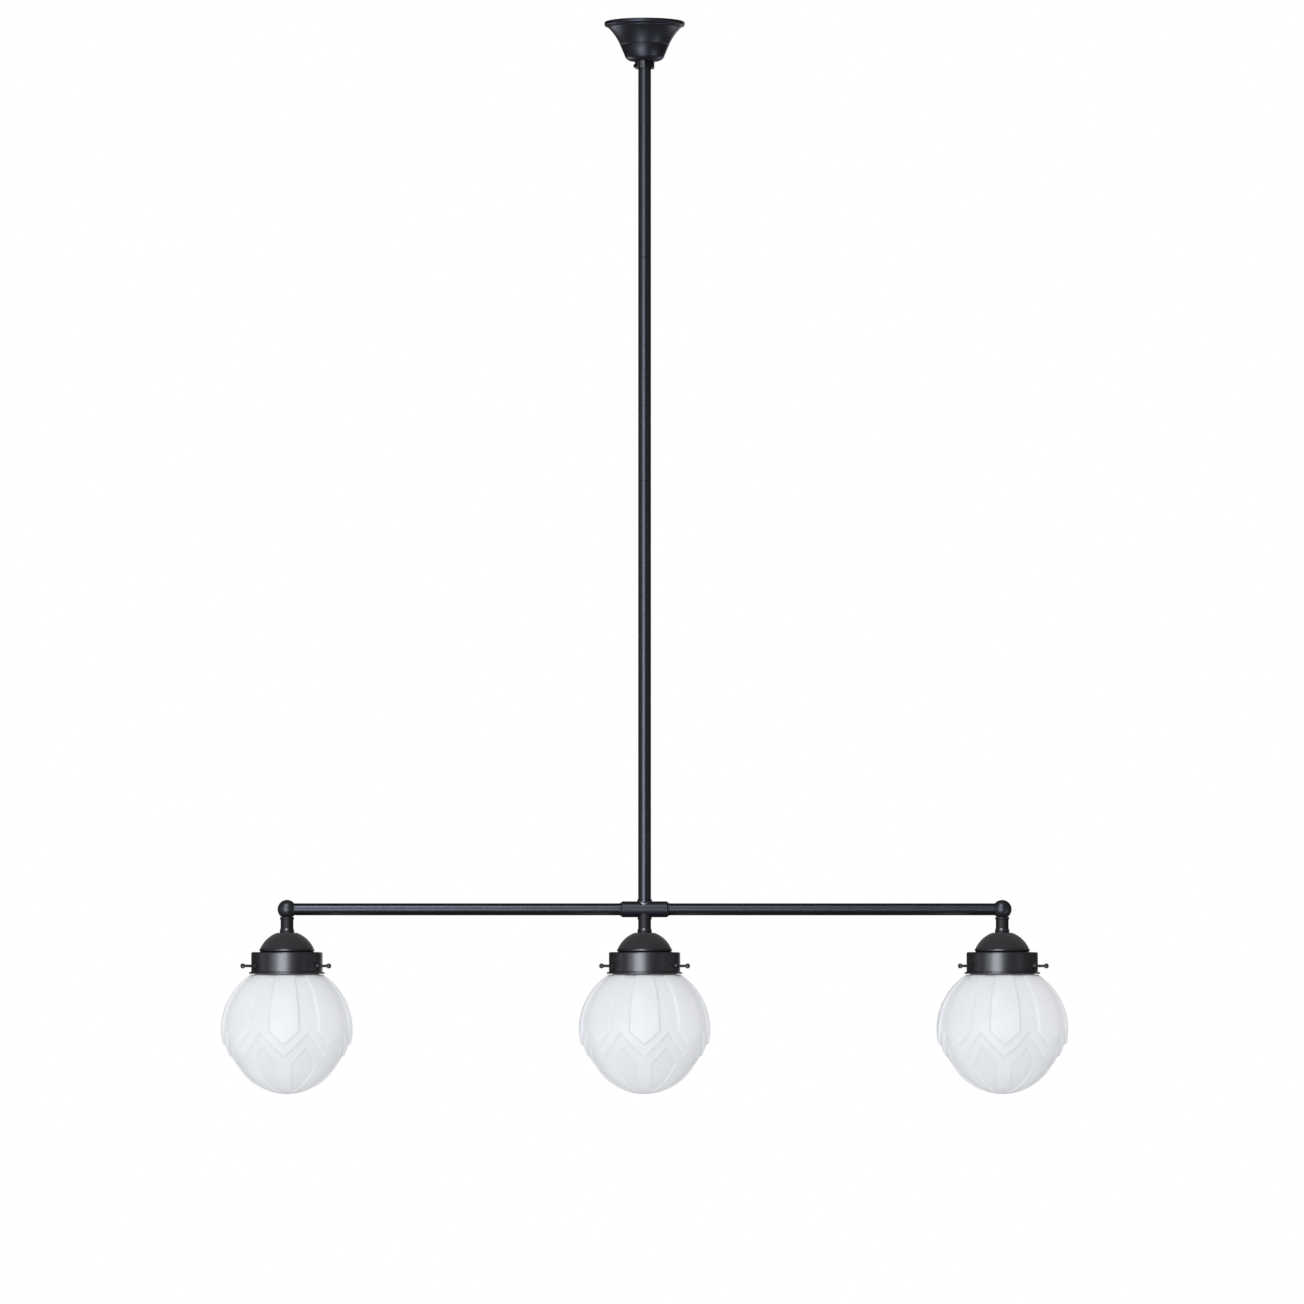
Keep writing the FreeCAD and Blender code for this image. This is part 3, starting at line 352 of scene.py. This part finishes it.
# The mesh's rows: dense from the pole up to the petals' sides, and wider apart above
POLE = -89.4
DENSE_END = -1
PATTERN_END = 58.5
AROUND = 640
DENSE_ROWS = 170
WIDE_ROWS = 56
INSIDE_ROWS = 24


def towards(azimuth, latitude):
    """Unit vectors for azimuths and latitudes in degrees, azimuth 0 at the front."""
    turn, tilt = np.radians(azimuth), np.radians(latitude)
    return np.stack([np.sin(turn) * np.cos(tilt), -np.cos(turn) * np.cos(tilt), np.sin(tilt)], axis=-1)


def inside_of(points, first, second, within):
    """How far, in millimetres on the ball, points lie inside the plane through two directions."""
    normal = np.cross(towards(*first), towards(*second))
    normal /= np.linalg.norm(normal)
    if normal @ towards(*within) < 0:
        normal = -normal
    return np.arcsin(np.clip(points @ normal, -1, 1)) * BALL


def soft_step(distance, width):
    """From 0 to 1 across an edge, as pressed glass rounds it."""
    share = np.clip(distance / width + 0.5, 0, 1)
    return share * share * (3 - 2 * share)


def swollen(radius, latitude):
    """Radius towards a latitude of a ball whose underside draws out to a fuller pole."""
    pole = radius + SWELL
    shift = (pole ** 2 - radius ** 2) / (2 * (pole - radius * math.sin(math.radians(SWELL_START))))
    down = -np.sin(np.radians(latitude))
    reach = shift * down + np.sqrt((pole - shift) ** 2 - shift ** 2 * (1 - down ** 2))
    return np.maximum(radius, reach)


def glass_radius(azimuth, latitude):
    """The outer radius of the pressed pattern, in millimetres."""
    fold = np.abs((azimuth + PATTERN_SECTOR / 2) % PATTERN_SECTOR - PATTERN_SECTOR / 2)
    points = towards(fold, latitude)
    petal = np.minimum(inside_of(points, PETAL_TOP, PETAL_SIDE, ON_PETAL),
                       inside_of(points, PETAL_TIP, PETAL_SIDE, ON_PETAL))
    band = inside_of(points, BAND_MIDDLE, BAND_EDGE, ON_PETAL)
    panel = np.minimum(inside_of(points, PANEL_PEAK, PANEL_SIDE, ON_PANEL),
                       inside_of(points, PANEL_SIDE, PANEL_FOOT, ON_PANEL))
    radius = swollen(BALL - STEPS["ground"], latitude)
    chevron = swollen(BALL - STEPS["chevron"], latitude)
    radius += (chevron - radius) * soft_step(-panel, PANEL_EDGE_WIDTH)
    fade = 1 - FADE_SHARE * np.clip((latitude - FADE_START) / FADE_REACH, 0, 1) ** FADE_CURVE
    radius += (BALL - STEPS["band"] * fade - radius) * soft_step(band, EDGE_WIDTH)
    radius += (BALL - radius) * soft_step(petal, EDGE_WIDTH)
    return radius


def pattern_rings(azimuth):
    """Radius and height of the pressed outside, ring by ring from the pole to the flat shoulder."""
    latitude = np.concatenate([np.linspace(POLE, DENSE_END, DENSE_ROWS, endpoint=False),
                               np.linspace(DENSE_END, PATTERN_END, WIDE_ROWS)])
    azimuth, latitude = np.meshgrid(azimuth, latitude)
    tilt = np.radians(latitude)
    radius = glass_radius(azimuth, latitude)
    flat, height = radius * np.cos(tilt), radius * np.sin(tilt)
    over = height > SHOULDER_LEVEL
    flat[over] = (SHOULDER_LEVEL / np.tan(tilt))[over]
    height[over] = SHOULDER_LEVEL
    return flat, height


def round_rings():
    """(radius, height) of the plain round rest, ring by ring: shoulder, neck, lip, bore and hollow."""
    lip_foot = SHOULDER_LEVEL + SHOULDER_GAP + SCREW_RISE + LIP_GAP
    lip_top = lip_foot + LIP_HEIGHT
    rings = [
        (NECK_RADIUS + 1.2, SHOULDER_LEVEL),
        (NECK_RADIUS + 0.3, SHOULDER_LEVEL + 0.4),
        (NECK_RADIUS, SHOULDER_LEVEL + 1.4),
        (NECK_RADIUS, lip_foot - 0.4),
        (NECK_RADIUS + 0.4, lip_foot),
        (LIP_RADIUS - 0.8, lip_foot),
        (LIP_RADIUS - 0.2, lip_foot + 0.3),
        (LIP_RADIUS, lip_foot + 1),
        (LIP_RADIUS, lip_top - 1.2),
        (LIP_RADIUS - 0.4, lip_top - 0.4),
        (LIP_RADIUS - 1.2, lip_top),
        (NECK_BORE + 0.6, lip_top),
        (NECK_BORE, lip_top - 0.6),
        (NECK_BORE, SHOULDER_LEVEL - 0.6),
    ]
    inner = BALL - STEPS["inside"]
    start = math.degrees(math.acos(NECK_BORE / inner))
    for latitude in np.linspace(start, POLE, INSIDE_ROWS):
        radius, tilt = swollen(inner, latitude), math.radians(latitude)
        height = min(radius * math.sin(tilt), SHOULDER_LEVEL - SHOULDER_WALL)
        rings.append((radius * math.cos(tilt), height))
    return rings


def globe_mesh(name):
    """One closed globe about its own centre, outside first and then the hollow."""
    azimuth = np.arange(AROUND) * 360 / AROUND
    flat, height = pattern_rings(azimuth)
    rest = round_rings()
    flat = np.vstack([flat, [[ring_radius] * AROUND for ring_radius, _ in rest]])
    height = np.vstack([height, [[ring_height] * AROUND for _, ring_height in rest]])
    turn = np.radians(azimuth)
    points = np.stack([flat * np.sin(turn), -flat * np.cos(turn), height], axis=-1).reshape(-1, 3)
    poles = [(0, 0, height[0].mean()), (0, 0, height[-1].mean())]
    outer_pole, inner_pole = flat.size, flat.size + 1
    last_ring = flat.size - AROUND
    faces = ring_faces(len(flat), AROUND)
    for column in range(AROUND):
        after = (column + 1) % AROUND
        faces.append((outer_pole, after, column))
        faces.append((inner_pole, last_ring + column, last_ring + after))
    return smooth_mesh(name, np.vstack([points, poles]) / 1000, faces, "opal_glass")


GLASS = globe_mesh("pressed_globe")
for lamp in LAMPS:
    x, y, _, _ = middle(f"globe_{lamp}")
    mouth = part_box(f"gallery_{lamp}")[0][2]
    place = (x, y, mouth - SHOULDER_GAP / 1000 - SHOULDER_LEVEL / 1000)
    stand(f"pressed_globe_{lamp}", GLASS, place, f"globe_{lamp}")


# Turned and spun pieces with their fine edges

# Half a corner's angle, in radians, from which it is left alone
NEARLY_STRAIGHT = 1.5
# Shares of a side that an easing may take, and of an easing that its hold reaches past it
LONGEST_CUT = 0.45
EDGE_HOLD = 0.04
EASING_STEPS = 7


def rounded(corners):
    """A turned profile with its corners eased. A corner is (radius, height, easing), in millimetres.

    Past each end of an easing comes a point on the straight, its hold, which keeps the straight
    looking straight when it is shaded smooth.
    """
    path = []
    for number, (radius, height, easing) in enumerate(corners):
        here = np.array((radius, height))
        back = np.array(corners[number - 1][:2]) - here
        on = np.array(corners[(number + 1) % len(corners)][:2]) - here
        far_back, far_on = np.linalg.norm(back), np.linalg.norm(on)
        back, on = back / far_back, on / far_on
        half = math.acos(np.clip(back @ on, -1, 1)) / 2
        if easing == 0 or half > NEARLY_STRAIGHT:
            path.append(here)
            continue
        cut = min(easing / math.tan(half), LONGEST_CUT * far_back, LONGEST_CUT * far_on)
        centre = here + (back + on) / np.linalg.norm(back + on) * cut / math.cos(half)
        first, last = here + back * cut, here + on * cut
        path.append(first + back * EDGE_HOLD * cut)
        for share in np.linspace(0, 1, EASING_STEPS):
            spoke = (first - centre) * (1 - share) + (last - centre) * share
            path.append(centre + spoke / np.linalg.norm(spoke) * np.linalg.norm(first - centre))
        path.append(last + on * EDGE_HOLD * cut)
    return path


def arc(start, end, radius, count):
    """Plain profile corners along a short arc; a positive radius bulges to the left of the way."""
    start, end = np.array(start), np.array(end)
    length = np.linalg.norm(end - start)
    along = (end - start) / length
    left = np.array((-along[1], along[0]))
    drop = math.sqrt(radius ** 2 - length ** 2 / 4)
    centre = (start + end) / 2 - left * math.copysign(drop, radius)
    corners = []
    for share in np.linspace(0, 1, count):
        spoke = (start - centre) * (1 - share) + (end - centre) * share
        corners.append((*(centre + spoke / np.linalg.norm(spoke) * abs(radius)), 0))
    return corners


def lathe(name, corners, material, around=144):
    """A closed turned mesh about Z from profile corners in millimetres."""
    turn = np.arange(around) * 2 * math.pi / around
    rings = [np.stack([radius * np.cos(turn), radius * np.sin(turn), np.full(around, height)], axis=-1)
             for radius, height in np.array(rounded(corners)) / 1000]
    faces = ring_faces(len(rings), around, closed=True)
    return smooth_mesh(name, np.vstack(rings), faces, material)


# Dome cap: part of a ball of sheet with a flat top, and a raised band and a groove at its hem

SHEET = 1
NIPPLE_HOLE = 5.3
DOME_RADIUS = 33.9
DOME_TOP = 11.7
DOME_INSIDE_TOP = 11.2
DOME_HEIGHT = 22.4
HEM = 3.6
HEM_LEVEL = math.sqrt(DOME_RADIUS ** 2 - DOME_TOP ** 2) - DOME_HEIGHT + HEM
AT_HEM = math.sqrt(DOME_RADIUS ** 2 - HEM_LEVEL ** 2)
DOME_INSIDE = DOME_RADIUS - SHEET
DOME_INSIDE_HEM = math.sqrt(DOME_INSIDE ** 2 - HEM_LEVEL ** 2)
DOME_UNDERSIDE = DOME_HEIGHT - SHEET
DOME = lathe("spun_dome", [
    (NIPPLE_HOLE, DOME_HEIGHT, 0),
    *arc((DOME_TOP, DOME_HEIGHT), (AT_HEM, HEM), DOME_RADIUS, 40),
    *arc((DOME_INSIDE_HEM, HEM), (DOME_INSIDE_TOP, DOME_UNDERSIDE), -DOME_INSIDE, 20),
    (NIPPLE_HOLE, DOME_UNDERSIDE, 0),
], "black_matt")
SKIRT = lathe("dome_skirt", [
    (AT_HEM - 0.1, HEM, 0),
    *arc((AT_HEM + 0.45, HEM - 0.1), (AT_HEM + 0.75, 1.3), 2.4, 12),
    (AT_HEM - 0.1, 1.1, 0),
    (AT_HEM - 0.1, 0, 0),
    (AT_HEM - 1.2, 0, 0),
    (AT_HEM - 1, HEM, 0),
], "black_spun")


# Rings at the spacer's foot, from the dome's top up, and at its head, from the arms' level down

STUB_INSIDE = 7.3
FOOT = lathe("stub_foot", [
    (STUB_INSIDE, 5.4, 0),
    (7.45, 5.3, 0.2),
    (8.33, 3.4, 0.4),
    (8.33, 2.6, 0.4),
    (STUB_INSIDE, 1.9, 0),
], "black_spun", 80)
HEAD = lathe("stub_head", [
    (STUB_INSIDE, -9.2, 0),
    (8.1, -9.2, 0.3),
    (8.25, -11.2, 0.5),
    (STUB_INSIDE, -12.2, 0),
], "black_turned", 80)


# Saddle bead: a ring at the rod's foot, bent down over the round tee

TEE_RADIUS = 9.3
BEAD_RADIUS = 8.1
SADDLE = lathe("saddle_bead", [
    (BEAD_RADIUS - 0.4, 2.7, 0),
    (BEAD_RADIUS - 0.2, 2.7, 0.2),
    (BEAD_RADIUS + 0.7, 0.9, 0.3),
    (BEAD_RADIUS + 0.7, 0.3, 0.3),
    (BEAD_RADIUS - 0.4, 0.1, 0),
], "black_spun", 96)
for vertex in SADDLE.vertices:
    sideways = BEAD_RADIUS * math.sin(math.atan2(vertex.co.y, vertex.co.x))
    vertex.co.z += math.sqrt(TEE_RADIUS ** 2 - sideways ** 2) / 1000
SADDLE.update()


# Gallery: a pressed cup, open below, with a rolled-out lip

GALLERY_RADIUS = 41.5
GALLERY_HEIGHT = 25.3
GALLERY_INSIDE = GALLERY_RADIUS - SHEET
GALLERY_UNDERSIDE = GALLERY_HEIGHT - SHEET
GALLERY_LIP_RADIUS = 44
GALLERY_LIP_HEIGHT = 2
GALLERY = lathe("pressed_gallery", [
    (NIPPLE_HOLE, GALLERY_UNDERSIDE, 0),
    (NIPPLE_HOLE, GALLERY_HEIGHT, 0),
    (GALLERY_RADIUS, GALLERY_HEIGHT, 1.8),
    (GALLERY_RADIUS, GALLERY_LIP_HEIGHT, 1.1),
    (GALLERY_LIP_RADIUS, GALLERY_LIP_HEIGHT, 0.75),
    (GALLERY_LIP_RADIUS, 0, 0.5),
    (GALLERY_INSIDE, 0, 0.2),
    (GALLERY_INSIDE, GALLERY_UNDERSIDE, 1),
], "black_spun")


# Screw boss, its heights measured from the lamp's axis, and thumbscrew, measured from its tip

BOSS_BORE = 1.4
BOSS_START = 40.9
BOSS_END = 45.5
BOSS = lathe("screw_boss", [
    (BOSS_BORE, BOSS_START, 0),
    (3.7, BOSS_START, 0),
    (3.6, BOSS_START + 1.2, 0.5),
    (2.4, BOSS_END, 0.5),
    (BOSS_BORE, BOSS_END, 0),
], "black_screws", 40)
TIP_DISTANCE = 37.1
SHANK_RADIUS = 1.3
STEM_RADIUS = 1.6
KNOB_RADIUS = 2.9
SCREW_LENGTH = 22.6
NEAR_AXIS = 0.01
SCREW = lathe("thumbscrew", [
    (NEAR_AXIS, 0, 0),
    (SHANK_RADIUS, 0, 0),
    (SHANK_RADIUS, 9.2, 0),
    (STEM_RADIUS, 9.8, 0.2),
    (STEM_RADIUS, 18.4, 0.4),
    (KNOB_RADIUS, 19, 1.1),
    (KNOB_RADIUS, SCREW_LENGTH, 1.4),
    (NEAR_AXIS, SCREW_LENGTH, 0),
], "black_knob", 40)


# Canopy cup: rolled lip at the ceiling, flared side, a turned line and a rounded bottom corner

CUP_LIP = 47
CUP_HOLE = 7.8
CUP_DEPTH = 45.4
CUP = lathe("spun_cup", [
    (41.8, 0, 0.2),
    (CUP_LIP, 0, 1.2),
    (CUP_LIP, -4.5, 1.9),
    (42.9, -5.4, 0.6),
    *arc((42.5, -6.5), (29.2, -25.5), -62, 24),
    (28.56, -27, 0),
    (28.1, -27.3, 0.2),
    (28.3, -27.6, 0),
    *arc((23.5, -38.9), (16.9, -CUP_DEPTH), 8.2, 16),
    (CUP_HOLE, -CUP_DEPTH, 0.2),
    (CUP_HOLE, SHEET - CUP_DEPTH, 0),
    *arc((16.4, SHEET - CUP_DEPTH), (22.5, -38.9), -7.2, 8),
    *arc((28.2, -25.5), (41.8, -5.2), 62, 12),
], "black_cup")


# Where the pieces stand

def stand_screws(lamp, x, y):
    """A lamp's three bosses and thumbscrews, the first at the back and the others a third round."""
    for number in range(1, 4):
        azimuth = math.radians(90 + 120 * (number - 1))
        turn = (0, math.pi / 2, azimuth)
        screw = f"thumbscrew_{lamp}_{number}"
        _, _, low, high = middle(screw)
        level = (low + high) / 2
        stand(f"boss_{lamp}_{number}", BOSS, (x, y, level), f"gallery_{lamp}", turn)
        tip = (x + TIP_DISTANCE / 1000 * math.cos(azimuth),
               y + TIP_DISTANCE / 1000 * math.sin(azimuth), level)
        stand(f"turned_{screw}", SCREW, tip, screw, turn, screw)


_, _, tee_low, tee_high = middle("tee_fitting")
arm_level = (tee_low + tee_high) / 2
stand("saddle_bead", SADDLE, (0, 0, arm_level), None)
for lamp in LAMPS:
    x, y, mouth, _ = middle(f"dome_cap_{lamp}")
    stand(f"stub_head_{lamp}", HEAD, (x, y, arm_level), None)
    stand(f"spun_dome_{lamp}", DOME, (x, y, mouth), f"dome_cap_{lamp}")
    stand(f"dome_skirt_{lamp}", SKIRT, (x, y, mouth), f"dome_cap_{lamp}")
    dome_top = mouth + DOME_HEIGHT / 1000
    stand(f"stub_foot_{lamp}", FOOT, (x, y, dome_top), None)
    gallery_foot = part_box(f"gallery_{lamp}")[0][2]
    stand(f"pressed_gallery_{lamp}", GALLERY, (x, y, gallery_foot), f"gallery_{lamp}")
    stand_screws(lamp, x, y)
stand("spun_cup", CUP, (0, 0, 0), "canopy_cup", body="canopy")


# Studio

COOL = (0.86, 0.89, 1.0)
MIDDLE = (0, 0, -0.85)
CANOPY = (0, 0, -0.03)


def turned_to(target, place):
    """The rotation that makes a light or camera at a place look at a target."""
    return (Vector(target) - Vector(place)).to_track_quat("-Z", "Y").to_euler()


def soft_light(name, aim, azimuth, elevation, distance, size, radiance, spread=180, colour=COOL,
               seen_in="glossy"):
    """A rectangular softbox turned to a point of the lamp's axis, and seen in one kind of ray.

    Azimuth 0 is the camera's side and a negative one is to its left. Angles are in degrees. The
    softbox is as bright as its radiance, whatever its size.
    """
    turn, tilt = math.radians(azimuth), math.radians(elevation)
    place = (distance * math.sin(turn) * math.cos(tilt), -distance * math.cos(turn) * math.cos(tilt),
             distance * math.sin(tilt) + aim[2])
    data = bpy.data.lights.new(name, "AREA")
    data.shape = "RECTANGLE"
    data.size, data.size_y = size
    data.energy = radiance * math.pi * size[0] * size[1]
    data.color = colour
    data.spread = math.radians(spread)
    softbox = in_scene(name, data, place)
    softbox.rotation_euler = turned_to(aim, place)
    softbox.visible_camera = False
    softbox.visible_glossy = seen_in == "glossy"
    softbox.visible_diffuse = seen_in == "diffuse"


soft_light("key", MIDDLE, -17, -3, 5, (2.75, 2.95), 8.8)
soft_light("high_spot", MIDDLE, -15, 50, 5, (0.5, 0.5), 125)
soft_light("top_panel", MIDDLE, -20, 42, 5, (1.5, 1.5), 8.0)
soft_light("bell_front", CANOPY, -18, -45, 2.2, (0.7, 0.8), 0.34, spread=30)
soft_light("bell_right", CANOPY, 58, -30, 2.2, (0.5, 1.4), 0.32, spread=30)
soft_light("left_rim", MIDDLE, -84, 0, 5, (1.2, 3.0), 0.8)
soft_light("left_strip", MIDDLE, -47, 2, 5, (0.9, 3.6), 2.2)
soft_light("right_strip", MIDDLE, 58, -6, 5, (0.7, 2.6), 0.6)
soft_light("bell_left_rim", CANOPY, -140, -35, 2.2, (0.8, 0.8), 0.2, spread=30)
soft_light("bell_right_rim", CANOPY, 140, -35, 2.2, (0.8, 0.8), 0.1, spread=30)
soft_light("back_panel", MIDDLE, 165, 8, 5, (2.2, 3.0), 1.1)
soft_light("wash", MIDDLE, -36, 4, 5, (2.4, 2.4), 1.7, colour=(0.86, 0.92, 1.0), seen_in="diffuse")
soft_light("under_fill", MIDDLE, 4, -38, 5.2, (3.6, 3.6), 0.82, colour=(0.88, 0.93, 1.0),
           seen_in="diffuse")


ROOM_LIGHT = 0.85
ROOM_IN_GLOSS = 0.06


def studio_world():
    """A backdrop that the camera sees white, that lights softly and that gloss hardly mirrors."""
    world = bpy.data.worlds.new("studio")
    world.use_nodes = True
    tree = world.node_tree
    backdrop = tree.nodes["Background"]
    backdrop.inputs["Color"].default_value = (1, 1, 1, 1)
    rays = tree.nodes.new("ShaderNodeLightPath")
    given = tree.nodes.new("ShaderNodeMapRange")
    given.inputs["To Min"].default_value = ROOM_LIGHT
    given.inputs["To Max"].default_value = ROOM_IN_GLOSS
    tree.links.new(rays.outputs["Is Glossy Ray"], given.inputs["Value"])
    shown = tree.nodes.new("ShaderNodeMix")
    shown.inputs["B"].default_value = 1.0
    tree.links.new(rays.outputs["Is Camera Ray"], shown.inputs["Factor"])
    tree.links.new(given.outputs["Result"], shown.inputs["A"])
    tree.links.new(shown.outputs["Result"], backdrop.inputs["Strength"])
    return world


bpy.context.scene.world = studio_world()


# Floor

FLOOR_RADIUS = 4.4
FLOOR_LEVEL = -2.0
bpy.ops.mesh.primitive_circle_add(vertices=96, radius=FLOOR_RADIUS, fill_type="NGON",
                                  location=(0, 0, FLOOR_LEVEL))
floor = bpy.context.object
floor.name = "floor"
pale = Nodes("pale_floor")
pale.link(pale.blend(pale.noise(2, 3), (0.8, 0.8, 0.8), (0.84, 0.84, 0.84)), "Base Color")
pale.set(Roughness=0.8)
floor.data.materials.append(pale.material)
floor.visible_glossy = False
floor.visible_shadow = False


# Camera, where the photo's stood

CAMERA_PLACE = (0.0086, -9.3, -1.095)
CAMERA_AIM = (0.0086, 0, -0.7365)
AIM_DISTANCE = 9.307
HALF_WIDTH_SEEN = 0.7595
SENSOR_WIDTH = 36
view = bpy.data.cameras.new("photo_view")
view.sensor_width = SENSOR_WIDTH
view.lens = SENSOR_WIDTH / 2 * AIM_DISTANCE / HALF_WIDTH_SEEN
view.clip_end = 60
camera = in_scene("photo_view", view, CAMERA_PLACE)
camera.rotation_euler = turned_to(CAMERA_AIM, CAMERA_PLACE)
bpy.context.scene.camera = camera
bpy.context.scene.view_settings.view_transform = "Standard"
